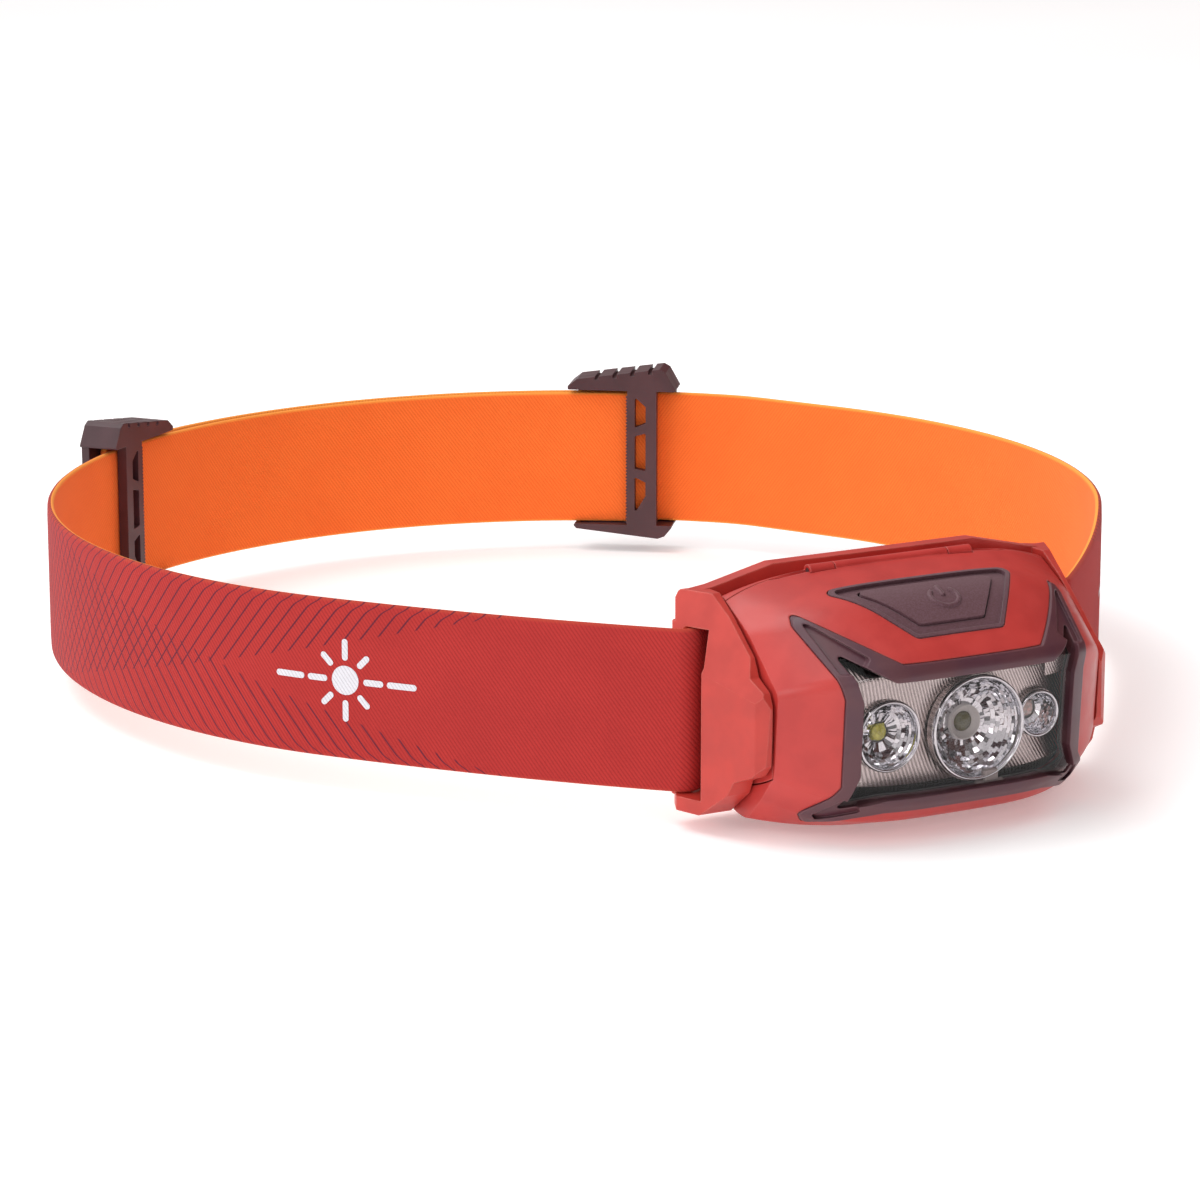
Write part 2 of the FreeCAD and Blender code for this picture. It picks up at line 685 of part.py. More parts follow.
def strap_segments():
    """The strap's path in plan, as (length, 0) for a straight and (turn in degrees, radius) for a bend.

    It starts under the right slider, runs along the rear as the inner layer, down the left side,
    round the bracket's two end bars and behind its plate, up the right side, steps out and runs
    along the rear as the outer layer to the left slider. A positive turn is to the left.
    """
    outer_r = BAND_R + LAYER_STEP
    step_run = math.sqrt((outer_r - STEP_BEND_R) ** 2 - (BAND_R - STEP_BEND_R) ** 2)
    step_turn = math.degrees(math.atan2(step_run, BAND_R - STEP_BEND_R))
    reach = SLIDER_ANGLE + ANCHOR_DEGREES
    cheek_r, cheek_turn = cheek_arc()
    wrap_turn = 180 + LEAVE_ANGLE - BAND_HALF_ARC - cheek_turn
    back_run, front_run = back_lengths()
    return [
        ("bend", reach + BAND_HALF_ARC, BAND_R),
        ("bend", cheek_turn, cheek_r),
        ("bend", wrap_turn, WRAP_R),
        ("line", back_run, 0),
        ("bend", -LEAVE_ANGLE, BACK_BEND_R),
        ("line", front_run, 0),
        ("bend", -LEAVE_ANGLE, BACK_BEND_R),
        ("line", back_run, 0),
        ("bend", wrap_turn, WRAP_R),
        ("bend", cheek_turn, cheek_r),
        ("bend", BAND_HALF_ARC - STEP_START, BAND_R),
        ("line", step_run, 0),
        ("bend", step_turn, STEP_BEND_R),
        ("bend", STEP_START - step_turn + reach, outer_r),
    ]


def cheek_arc():
    """Radius and turn of the arc that joins the band's circle to the circle round the end bar.

    It touches both from outside, so its centre is BAND_R from the first point of contact less its own
    radius, and the same for the end bar. That gives one equation for the radius.
    """
    out_x = -math.sin(math.radians(BAND_HALF_ARC))
    out_y = math.cos(math.radians(BAND_HALF_ARC))
    dx, dy = BAR_X, BAND_CY - BAR_Y
    inner = BAND_R - WRAP_R
    extra = (dx * dx + dy * dy - inner * inner) / (2 * (inner + dx * out_x + dy * out_y))
    centre_x, centre_y = -extra * out_x, BAND_CY - extra * out_y
    bearing = math.degrees(math.atan2(BAR_Y - centre_y, -BAR_X - centre_x)) + 360
    return BAND_R + extra, bearing - 90 - BAND_HALF_ARC


def back_lengths():
    """Lengths of the sloping and the flat stretch between the two end bars."""
    angle = math.radians(LEAVE_ANGLE)
    leave_x = BAR_X - WRAP_R * math.sin(angle)
    leave_y = BAR_Y - WRAP_R * math.cos(angle)
    to_corner = (-STRAP_T / 2 - leave_y) / math.sin(angle)
    corner_x = leave_x - to_corner * math.cos(angle)
    tangent = BACK_BEND_R * math.tan(angle / 2)
    return to_corner - tangent, 2 * (corner_x - tangent)


def strap():
    """The ribbon: both faces are exact offsets of the path."""
    start_angle = math.radians(90 - SLIDER_ANGLE - ANCHOR_DEGREES)
    position = V(BAND_R * math.cos(start_angle), BAND_CY + BAND_R * math.sin(start_angle), 0)
    heading = start_angle + math.pi / 2
    left_edges, right_edges = [], []
    half = STRAP_T / 2

    def left_of(angle):
        return V(-math.sin(angle), math.cos(angle), 0)

    first = [position + left_of(heading) * half, position - left_of(heading) * half]
    for kind, amount, radius in strap_segments():
        if kind == "line":
            end = position + V(math.cos(heading), math.sin(heading), 0) * amount
            normal = left_of(heading) * half
            left_edges.append(Part.makeLine(position + normal, end + normal))
            right_edges.append(Part.makeLine(position - normal, end - normal))
            position = end
            continue
        turn = math.radians(amount)
        side = 1 if turn > 0 else -1
        centre = position + left_of(heading) * radius * side
        for edges, offset in ((left_edges, half), (right_edges, -half)):
            points = [
                centre - left_of(heading + turn * share) * (radius * side - offset)
                for share in (0, 0.5, 1)
            ]
            edges.append(Part.Arc(*points).toShape())
        heading += turn
        position = centre - left_of(heading) * radius * side
    last = [position + left_of(heading) * half, position - left_of(heading) * half]
    caps = [Part.makeLine(*first), Part.makeLine(*last)]
    wire = Part.Wire(Part.__sortEdges__(left_edges + right_edges + caps))
    return Part.Face(wire).extrude(V(0, 0, STRAP_WIDTH)).translated(V(0, 0, -STRAP_WIDTH / 2))


# --- sliders ------------------------------------------------------------------------------------------


def ladder_windows():
    """Three slanted openings in the ladder, in (t, z), as outlines."""
    left, right = -1.35, 0.75
    return [
        [(left, 12.2), (right, 10.3), (right, 7.1), (left, 6.2)],
        [(left, 4.6), (right, 5.2), (right, -2.1), (left, -1.7)],
        [(left, -3.3), (right, -4.3), (right, -6.9), (left, -10.5)],
    ]


def ladder_outline():
    """The ladder's outline in (t, z): one long edge is toothed, to grip the strap."""
    low, high = RAIL_BOTTOM - RAIL_OVERLAP, RAIL_TOP + RAIL_OVERLAP
    count = int(STRAP_WIDTH / TOOTH_PITCH)
    points = [(LADDER_HALF, low), (LADDER_HALF, high), (-LADDER_HALF, high)]
    for k in range(count):
        z = (count / 2 - k) * TOOTH_PITCH
        points += [(-LADDER_HALF, z), (-LADDER_HALF - TOOTH_DEPTH, z - TOOTH_PITCH / 2)]
    return points + [(-LADDER_HALF, -count / 2 * TOOTH_PITCH), (-LADDER_HALF, low)]


def slider_flat():
    """A slider built at the rear centre, with t along X and the radius along +Y from the band's centre."""
    inner, outer = CHANNEL_IN - LADDER_T, CHANNEL_OUT + OUTER_BAR_T

    def at(radius):
        return lambda t, z: V(t, BAND_CY + radius, z)

    upper, lower = [
        prism(with_radius(outline, 0.25), at(inner), V(0, outer - inner, 0))
        for outline in (UPPER_RAIL, LOWER_RAIL)
    ]
    for k in range(GRIP_GROOVES):
        t = GRIP_START + GRIP_PITCH * k
        height = GRIP_FLOOR + GRIP_RISE * k
        upper = upper.cut(block(t, t + 0.8, BAND_CY + 80, BAND_CY + 100, height, height + 2))
    shape = upper.fuse(lower)

    corners = [at(inner)(t, z) for t, z in ladder_outline()]
    ladder = Part.Face(Part.makePolygon(corners + corners[:1])).extrude(V(0, LADDER_T, 0))
    for window in ladder_windows():
        ladder = ladder.cut(prism(with_radius(window, 0.25), at(inner - 1), V(0, 5, 0)))

    low, high = RAIL_BOTTOM - RAIL_OVERLAP, RAIL_TOP + RAIL_OVERLAP
    for t0, t1 in OUTER_BARS:
        shape = shape.fuse(block(t0, t1, BAND_CY + CHANNEL_OUT, BAND_CY + outer, low, high))
    return shape.fuse(ladder).removeSplitter()


def place_slider(shape, degrees_from_rear):
    placed = shape.copy()
    placed.rotate(V(0, BAND_CY, 0), Z_AXIS, degrees_from_rear)
    return placed


# --- build --------------------------------------------------------------------------------------------


def build():
    outer, inner = body_solid(0), body_solid(WALL)
    parts = {}
    parts["front_shell"], parts["rear_cover"] = build_shells(outer, inner)
    parts["hinge_pin"] = knuckle(-KNUCKLE_END, KNUCKLE_END, HINGE_PIN_R)
    parts["pivot_pin_right"] = pivot_pin()
    parts["pivot_pin_left"] = mirrored(pivot_pin())
    parts["release_latch"] = latch(outer, inner)
    seal = body_solid(WALL + 0.15).cut(body_solid(WALL + 0.7))
    parts["cover_seal"] = seal.common(block(-40, 40, PARTING_Y - 0.9, PARTING_Y + 0.4, -30, 30))

    parts["bezel"] = bezel()
    glass = body_solid(0.5).cut(body_solid(1.7))
    parts["window_lens"] = glass.common(front_prism(GLASS_OUTLINE, 0.5, -0.05))
    gasket = body_solid(2.35).cut(body_solid(2.95)).common(front_prism(BEZEL_OUTLINE, 0.8, 0.6))
    parts["window_gasket"] = gasket.cut(front_prism(GLASS_OUTLINE, 0.5)).cut(parts["front_shell"])
    parts["reflector"] = build_reflector()

    parts["led_spot"] = led(SPOT, 1.3, 0.9)
    parts["led_flood"] = led(FLOOD, 1.2, 0.85)
    parts["led_red"] = led(RED, 1.1, 0.8)
    parts["led_board"] = led_board()
    parts["board_screws"] = board_screws()
    parts["driver_board"] = driver_board()
    parts["battery_wall"] = carrier()
    parts["battery_contacts"] = contacts()

    parts["power_button"] = power_button()
    parts["button_seal"] = button_seal()
    parts["switch_board"] = switch_board()
    parts["tactile_switch"] = tactile_switch()

    parts["battery_case"] = battery_case()
    parts["battery_cell"] = battery_cell()
    parts["battery_board"] = battery_board()
    parts["usb_socket"] = usb_socket()
    parts["battery_terminals"] = battery_terminals()

    parts["bracket"] = bracket()
    parts["headband_strap"] = strap()
    flat = slider_flat()
    parts["slider_left"] = place_slider(mirrored(flat), SLIDER_ANGLE)
    parts["slider_right"] = place_slider(flat, -SLIDER_ANGLE)
    return parts


def main():
    os.makedirs("parts", exist_ok=True)
    for name, shape in build().items():
        shape.exportStep(f"parts/{name}.step")


main()
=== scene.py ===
"""Headlamp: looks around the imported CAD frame. Positions are in metres, in the row frame."""
import json
import math
import random

import bmesh
import bpy
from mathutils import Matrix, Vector
from mathutils.bvhtree import BVHTree


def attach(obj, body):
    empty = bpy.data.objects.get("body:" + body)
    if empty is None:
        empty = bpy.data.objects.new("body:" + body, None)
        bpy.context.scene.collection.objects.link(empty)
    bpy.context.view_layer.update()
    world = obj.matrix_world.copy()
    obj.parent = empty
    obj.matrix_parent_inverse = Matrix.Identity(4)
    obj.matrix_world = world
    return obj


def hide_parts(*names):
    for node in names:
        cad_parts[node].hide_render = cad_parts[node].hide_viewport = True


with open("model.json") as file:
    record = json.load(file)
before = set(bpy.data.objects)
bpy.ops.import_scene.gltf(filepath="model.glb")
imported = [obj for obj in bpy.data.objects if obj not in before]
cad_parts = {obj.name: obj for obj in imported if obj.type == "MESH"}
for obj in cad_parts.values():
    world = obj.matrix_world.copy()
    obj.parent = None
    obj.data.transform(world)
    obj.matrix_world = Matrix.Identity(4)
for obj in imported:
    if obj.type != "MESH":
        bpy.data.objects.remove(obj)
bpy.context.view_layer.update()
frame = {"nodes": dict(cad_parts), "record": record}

MM = 0.001
NODES = frame["nodes"]
random.seed(7)


# --- strap path: the same arcs and straights as the CAD strap -------------------------------------

STRAP_HALF_WIDTH, STRAP_T = 12.5, 1.3
BAND_R, BAND_CY, BAND_HALF_ARC = 88.5, 90.0, 125.0
LAYER_STEP, STEP_BEND_R, STEP_START = 2.1, 30.0, 62.0
LEAVE_ANGLE, BACK_BEND_R = 33.0, 6.0
BAR_X, BAR_Y, WRAP_R = 33.2, -3.6, 2.4
SLIDER_ANGLE, ANCHOR_DEGREES = 37.3, 1.6
PATH_STEP, PATH_TURN = 1.0, math.radians(7)  # largest distance and turn between two samples


def cheek_arc():
    """(radius, turn in degrees) of the bend between the head's circle and the bracket's bar."""
    out_x = -math.sin(math.radians(BAND_HALF_ARC))
    out_y = math.cos(math.radians(BAND_HALF_ARC))
    dx, dy = BAR_X, BAND_CY - BAR_Y
    inner = BAND_R - WRAP_R
    extra = (dx * dx + dy * dy - inner * inner) / (2 * (inner + dx * out_x + dy * out_y))
    bearing = math.atan2(BAR_Y - BAND_CY + extra * out_y, -BAR_X + extra * out_x)
    return BAND_R + extra, math.degrees(bearing) + 360 - 90 - BAND_HALF_ARC


def strap_segments():
    """(turn in radians, radius) for a bend, or (0, length) for a straight, as in the CAD."""
    outer_r = BAND_R + LAYER_STEP
    step_run = math.sqrt((outer_r - STEP_BEND_R) ** 2 - (BAND_R - STEP_BEND_R) ** 2)
    step_turn = math.degrees(math.atan2(step_run, BAND_R - STEP_BEND_R))
    reach = SLIDER_ANGLE + ANCHOR_DEGREES
    cheek_r, cheek_turn = cheek_arc()
    wrap_turn = 180 + LEAVE_ANGLE - BAND_HALF_ARC - cheek_turn
    angle = math.radians(LEAVE_ANGLE)
    leave_x = BAR_X - WRAP_R * math.sin(angle)
    leave_y = BAR_Y - WRAP_R * math.cos(angle)
    to_corner = (-STRAP_T / 2 - leave_y) / math.sin(angle)
    tangent = BACK_BEND_R * math.tan(angle / 2)
    back_run = to_corner - tangent
    front_run = 2 * (leave_x - to_corner * math.cos(angle) - tangent)
    degrees = [
        (reach + BAND_HALF_ARC, BAND_R), (cheek_turn, cheek_r), (wrap_turn, WRAP_R), (0, back_run),
        (-LEAVE_ANGLE, BACK_BEND_R), (0, front_run), (-LEAVE_ANGLE, BACK_BEND_R), (0, back_run),
        (wrap_turn, WRAP_R), (cheek_turn, cheek_r), (BAND_HALF_ARC - STEP_START, BAND_R),
        (0, step_run), (step_turn, STEP_BEND_R), (STEP_START - step_turn + reach, outer_r),
    ]
    return [(math.radians(turn), size) for turn, size in degrees]


def strap_path():
    """Samples of the strap's centre line, as (x, y, heading, distance so far).

    The second result lists the distance at which each segment ends.
    """
    start = math.radians(90 - SLIDER_ANGLE - ANCHOR_DEGREES)
    x, y = BAND_R * math.cos(start), BAND_CY + BAND_R * math.sin(start)
    heading, run = start + math.pi / 2, 0.0
    samples, ends = [(x, y, heading, run)], []
    for turn, size in strap_segments():
        length = abs(turn) * size if turn else size
        count = max(2, math.ceil(length / PATH_STEP), math.ceil(abs(turn) / PATH_TURN))
        if turn:
            side = 1 if turn > 0 else -1
            cx, cy = x - math.sin(heading) * size * side, y + math.cos(heading) * size * side
        for i in range(1, count + 1):
            share = i / count
            if turn:
                h = heading + turn * share
                point = (cx + math.sin(h) * size * side, cy - math.cos(h) * size * side)
            else:
                h = heading
                point = (x + math.cos(h) * size * share, y + math.sin(h) * size * share)
            samples.append((point[0], point[1], h, run + length * share))
        x, y, heading, run = samples[-1]
        ends.append(run)
    return samples, ends


PATH, SEGMENT_ENDS = strap_path()
LEFT_EAR_RUN = SEGMENT_ENDS[1]  # where the left side meets the bracket
RIGHT_EAR_RUN = SEGMENT_ENDS[8]  # where the right side leaves it


def from_ear(run):
    """Distance along the strap from the nearer side of the bracket."""
    return LEFT_EAR_RUN - run if run < (LEFT_EAR_RUN + RIGHT_EAR_RUN) / 2 else run - RIGHT_EAR_RUN


def point_on_strap(run, z, out):
    """A point at a distance along the strap, at height z, `out` mm outside the centre line."""
    low, high = 0, len(PATH) - 1
    while high - low > 1:
        middle = (low + high) // 2
        if PATH[middle][3] <= run:
            low = middle
        else:
            high = middle
    a, b = PATH[low], PATH[high]
    share = (run - a[3]) / (b[3] - a[3])
    h = a[2] + (b[2] - a[2]) * share
    x, y = a[0] + (b[0] - a[0]) * share, a[1] + (b[1] - a[1]) * share
    return Vector((x + math.sin(h) * out, y - math.cos(h) * out, z)) * MM


# --- materials ------------------------------------------------------------------------------------


def linear(code):
    """A linear RGBA colour from an sRGB hex code."""
    values = [int(code[i:i + 2], 16) / 255 for i in (0, 2, 4)]
    return [v / 12.92 if v <= 0.04045 else ((v + 0.055) / 1.055) ** 2.4 for v in values] + [1.0]


class Nodes:
    """Short calls for adding and joining shader nodes."""

    def __init__(self, tree):
        self.tree = tree

    def node(self, kind, **settings):
        made = self.tree.nodes.new(kind)
        for key, value in settings.items():
            setattr(made, key, value)
        return made

    def put(self, value, socket):
        if isinstance(value, bpy.types.NodeSocket):
            self.tree.links.new(value, socket)
        else:
            socket.default_value = value

    def math(self, operation, *values, clamp=False):
        made = self.node("ShaderNodeMath", operation=operation, use_clamp=clamp)
        for value, socket in zip(values, made.inputs):
            self.put(value, socket)
        return made.outputs[0]

    def mix(self, factor, a, b):
        made = self.node("ShaderNodeMix", data_type="RGBA")
        self.put(factor, made.inputs["Factor"])
        self.put(a, made.inputs[6])
        self.put(b, made.inputs[7])
        return made.outputs[2]

    def ramp(self, value, low, high, out_low=0.0, out_high=1.0):
        made = self.node("ShaderNodeMapRange", interpolation_type="SMOOTHSTEP")
        for item, socket in zip((value, low, high, out_low, out_high), made.inputs):
            self.put(item, socket)
        return made.outputs[0]

    def coordinates(self):
        return self.node("ShaderNodeTexCoord").outputs["Object"]

    def noise(self, scale, detail=2.0):
        made = self.node("ShaderNodeTexNoise")
        self.put(self.coordinates(), made.inputs["Vector"])
        made.inputs["Scale"].default_value = scale
        made.inputs["Detail"].default_value = detail
        return made.outputs["Fac"]

    def bump(self, height, distance, strength=1.0, normal=None):
        made = self.node("ShaderNodeBump")
        made.inputs["Distance"].default_value = distance
        made.inputs["Strength"].default_value = strength
        self.put(height, made.inputs["Height"])
        if normal:
            self.put(normal, made.inputs["Normal"])
        return made.outputs[0]

    def rounded(self, radius):
        made = self.node("ShaderNodeBevel", samples=4)
        made.inputs["Radius"].default_value = radius
        return made.outputs[0]

    def edge_wear_and_highlight(self, radius):
        """1 along outside edges, 0 on faces; used to lighten edges, partly as wear and partly as a
        painted highlight.
        """
        flat = self.node("ShaderNodeNewGeometry").outputs["Normal"]
        dot = self.node("ShaderNodeVectorMath", operation="DOT_PRODUCT")
        self.put(self.rounded(radius), dot.inputs[0])
        self.put(flat, dot.inputs[1])
        return self.ramp(dot.outputs["Value"], 0.985, 0.86)

    def split(self, vector):
        made = self.node("ShaderNodeSeparateXYZ")
        self.put(vector, made.inputs[0])
        return made.outputs["X"], made.outputs["Y"], made.outputs["Z"]


class Shader(Nodes):
    """A node material built round one principled surface."""

    INPUTS = {
        "color": "Base Color", "roughness": "Roughness", "metallic": "Metallic", "normal": "Normal",
        "sheen": "Sheen Weight", "sheen_roughness": "Sheen Roughness", "coat": "Coat Weight",
        "coat_roughness": "Coat Roughness", "specular": "Specular IOR Level",
        "emission": "Emission Color", "emission_strength": "Emission Strength",
    }

    def __init__(self, name):
        self.material = bpy.data.materials.new(name)
        self.material.use_nodes = True
        super().__init__(self.material.node_tree)
        self.bsdf = self.tree.nodes["Principled BSDF"]
        self.output = self.tree.nodes["Material Output"]

    def finish(self, **inputs):
        for key, value in inputs.items():
            self.put(value, self.bsdf.inputs[self.INPUTS[key]])
        return self.material


GRAIN_SCALE, GRAIN_DEPTH = 2600, 0.000012  # of moulded plastic
SPECKLE_SCALE = 3800  # of rubber
SCRATCH_SCALE = 900  # of bare metal


def moulded(name, base, light, dark, roughness, bevel=0.0003):
    """Satin moulded plastic: fine grain, soft edges, faint mottling, and edges lightened in
    patches, partly as wear and partly as a painted highlight.
    """
    s = Shader(name)
    mottle = s.ramp(s.noise(160, 3), 0.35, 0.65)
    color = s.mix(mottle, linear(dark), linear(base))
    edges, patches = s.edge_wear_and_highlight(bevel * 1.1), s.ramp(s.noise(420, 4), 0.3, 0.7, 0.25, 0.75)
    # lighter colour along the edges in patches: partly wear, partly a painted highlight on the
    # rounded edges
    color = s.mix(s.math("MULTIPLY", edges, patches), color, linear(light))
    fine = s.noise(GRAIN_SCALE, 2)
    rough = s.ramp(s.noise(320, 3), 0.3, 0.7, roughness - 0.04, roughness + 0.05)
    normal = s.bump(fine, GRAIN_DEPTH, 0.5, s.rounded(bevel))
    return s.finish(color=color, roughness=rough, normal=normal, specular=0.45)


def rubber(name, base, light):
    """Soft dark rubber with a fine speckle."""
    s = Shader(name)
    speckle = s.ramp(s.noise(SPECKLE_SCALE, 2), 0.4, 0.62)
    color = s.mix(speckle, linear(base), linear(light))
    normal = s.bump(s.noise(SPECKLE_SCALE, 2), 0.00002, 0.6, s.rounded(0.00025))
    return s.finish(color=color, roughness=0.55, normal=normal, specular=0.4, sheen=0.15)


def metal(name, base, roughness):
    """Bare metal with fine scratches."""
    s = Shader(name)
    fine = s.noise(SCRATCH_SCALE, 4)
    darker = [c * 0.8 for c in linear(base)[:3]] + [1.0]
    color = s.mix(s.ramp(fine, 0.3, 0.7), linear(base), darker)
    rough = s.ramp(fine, 0.3, 0.7, roughness, roughness + 0.12)
    return s.finish(color=color, metallic=1.0, roughness=rough, normal=s.bump(fine, 0.00001, 0.4))


FLUTE_PITCH = 0.00058
TWILL_PITCH, TWILL_LEAN, WEFT_PITCH = 0.66, 0.75, 0.45
PRINT_PITCH, PRINT_LEAN, PRINT_LINE = 2.5, 0.815, 0.15
PRINT_START, PRINT_GROWTH = 28.0, 0.31
PRINT_COLOR, PRINT_OPACITY = "5a2636", 0.9
PRINT_EDGE, CURL_DEPTH, CURL_REACH = 12.3, 2.0, 0.9  # the lines hook slightly near the strap's edge
SELVEDGE_FROM, SELVEDGE_FULL = 11.9, 12.45  # where the selvedge colour starts and is full: orange yarn on the red face, a painted highlight on the orange face


def ribbed_chrome(name):
    """Vacuum-metallised sheet with fine slanted flutes that fan out to the right."""
    s = Shader(name)
    x, _, z = s.split(s.coordinates())
    lean = s.math("ADD", 0.45, s.math("MULTIPLY", x, 14.0))
    slant = s.math("ADD", x, s.math("MULTIPLY", z, lean))
    wave = s.math("SINE", s.math("MULTIPLY", slant, 2 * math.pi / FLUTE_PITCH))
    color = s.mix(s.ramp(wave, -1.0, 1.0), linear("a39896"), linear("cbc1bf"))
    return s.finish(color=color, metallic=1.0, roughness=0.27, normal=s.bump(wave, 0.00004, 0.4))


def mirror_chrome(name):
    """Polished metallised plastic."""
    s = Shader(name)
    rough = s.ramp(s.noise(700, 3), 0.3, 0.7, 0.03, 0.09)
    color = s.mix(s.noise(260, 2), linear("c9c9cf"), linear("f2f2f5"))
    return s.finish(color=color, metallic=1.0, roughness=rough)


def clear_window(name):
    """Polycarbonate: see-through face on, reflecting at a slant, with faint smears."""
    s = Shader(name)
    through = s.node("ShaderNodeBsdfTransparent")
    through.inputs[0].default_value = linear("f6f4f4")
    gloss = s.node("ShaderNodeBsdfGlossy")
    s.put(s.ramp(s.noise(120, 4), 0.35, 0.75, 0.01, 0.06), gloss.inputs["Roughness"])
    fresnel = s.node("ShaderNodeFresnel")
    fresnel.inputs[0].default_value = 1.45
    front = s.math("SUBTRACT", 1.0, s.node("ShaderNodeNewGeometry").outputs["Backfacing"])
    blend = s.node("ShaderNodeMixShader")
    s.put(s.math("MULTIPLY", s.math("MULTIPLY", fresnel.outputs[0], front), 0.75), blend.inputs[0])
    s.put(through.outputs[0], blend.inputs[1])
    s.put(gloss.outputs[0], blend.inputs[2])
    s.put(blend.outputs[0], s.output.inputs["Surface"])
    return s.material


def board(name, base, copper):
    """A circuit board with its tracks."""
    s = Shader(name)
    brick = s.node("ShaderNodeTexBrick")
    s.put(s.coordinates(), brick.inputs["Vector"])
    brick.inputs["Scale"].default_value = 420
    tracks = s.ramp(brick.outputs["Fac"], 0.2, 0.8)
    color = s.mix(tracks, linear(base), linear(copper))
    return s.finish(color=color, roughness=0.35, normal=s.bump(tracks, 0.00002, 0.5))


def phosphor(name, centre, around):
    """An unlit light source under clear resin."""
    s = Shader(name)
    glow = s.ramp(s.noise(1500, 2), 0.3, 0.7)
    color = s.mix(glow, linear(centre), linear(around))
    return s.finish(color=color, roughness=0.25, coat=0.8, coat_roughness=0.05)


def weave_height(s, along, across, lean=TWILL_LEAN):
    """(height, cord) of a twill: a diagonal cord broken by the weft, in millimetres."""
    slant = s.math("SUBTRACT", along, s.math("MULTIPLY", across, lean))
    cord = s.math("ABSOLUTE", s.math("SINE", s.math("MULTIPLY", slant, math.pi / TWILL_PITCH)))
    weft = s.math("ABSOLUTE", s.math("SINE", s.math("MULTIPLY", across, math.pi / WEFT_PITCH)))
    return s.math("ADD", s.math("MULTIPLY", cord, 0.75), s.math("MULTIPLY", weft, 0.25)), cord


def webbing(name, base, shade, edge, printed, lean=TWILL_LEAN):
    """Elastic webbing. The UV map holds millimetres: along from the ear, and across."""
    s = Shader(name)
    along, across, _ = s.split(s.node("ShaderNodeUVMap", uv_map="strap_mm").outputs[0])
    height, cord = weave_height(s, along, across, lean)
    color = s.mix(s.ramp(cord, 0.1, 0.8), linear(shade), linear(base))
    color = s.mix(s.ramp(s.noise(90, 3), 0.35, 0.7, 0.0, 0.3), color, linear(shade))
    # lighter band at the selvedges: on the red face the orange yarn wrapping round, on the orange
    # face a painted highlight on the rounded edge
    rim = s.ramp(s.math("ABSOLUTE", across), SELVEDGE_FROM, SELVEDGE_FULL)
    color = s.mix(rim, color, linear(edge))
    if printed:
        color = s.mix(print_mask(s, along, across), color, linear(PRINT_COLOR))
    normal = s.bump(height, 0.0001, 0.5)
    normal = s.bump(s.noise(5200, 2), 0.00003, 0.35, normal)
    return s.finish(color=color, roughness=0.85, normal=normal, sheen=0.05, specular=0.12)


def print_mask(s, along, across):
    """Thin slanted lines from both edges, which grow longer away from the lamp until they cross."""
    masks = []
    for sign in (1, -1):
        depth = s.math("SUBTRACT", PRINT_EDGE, s.math("MULTIPLY", across, sign))
        origin = s.math("SUBTRACT", along, s.math("MULTIPLY", depth, PRINT_LEAN))
        curl = s.math("POWER", s.ramp(depth, CURL_DEPTH, 0.0), 2.0)
        origin = s.math("ADD", origin, s.math("MULTIPLY", curl, CURL_REACH))
        phase = s.math("FRACT", s.math("DIVIDE", origin, PRINT_PITCH))
        offset = s.math("MULTIPLY", s.math("ABSOLUTE", s.math("SUBTRACT", phase, 0.5)), PRINT_PITCH)
        line = s.ramp(offset, PRINT_LINE + 0.06, PRINT_LINE - 0.03)
        reach = s.math("MULTIPLY", s.math("SUBTRACT", origin, PRINT_START), PRINT_GROWTH)
        masks.append(s.math("MULTIPLY", line, s.ramp(s.math("SUBTRACT", reach, depth), -0.2, 0.2)))
    return s.math("MULTIPLY", s.math("MAXIMUM", *masks), PRINT_OPACITY)


def mark_ink(name):
    """Screen-printed ink over the weave."""
    s = Shader(name)
    along, across, _ = s.split(s.node("ShaderNodeUVMap", uv_map="strap_mm").outputs[0])
    height, cord = weave_height(s, along, across)
    color = s.mix(s.ramp(cord, 0.1, 0.6), linear("c4c2c8"), linear("dddce2"))
    return s.finish(color=color, roughness=0.6, normal=s.bump(height, 0.0001, 0.5))


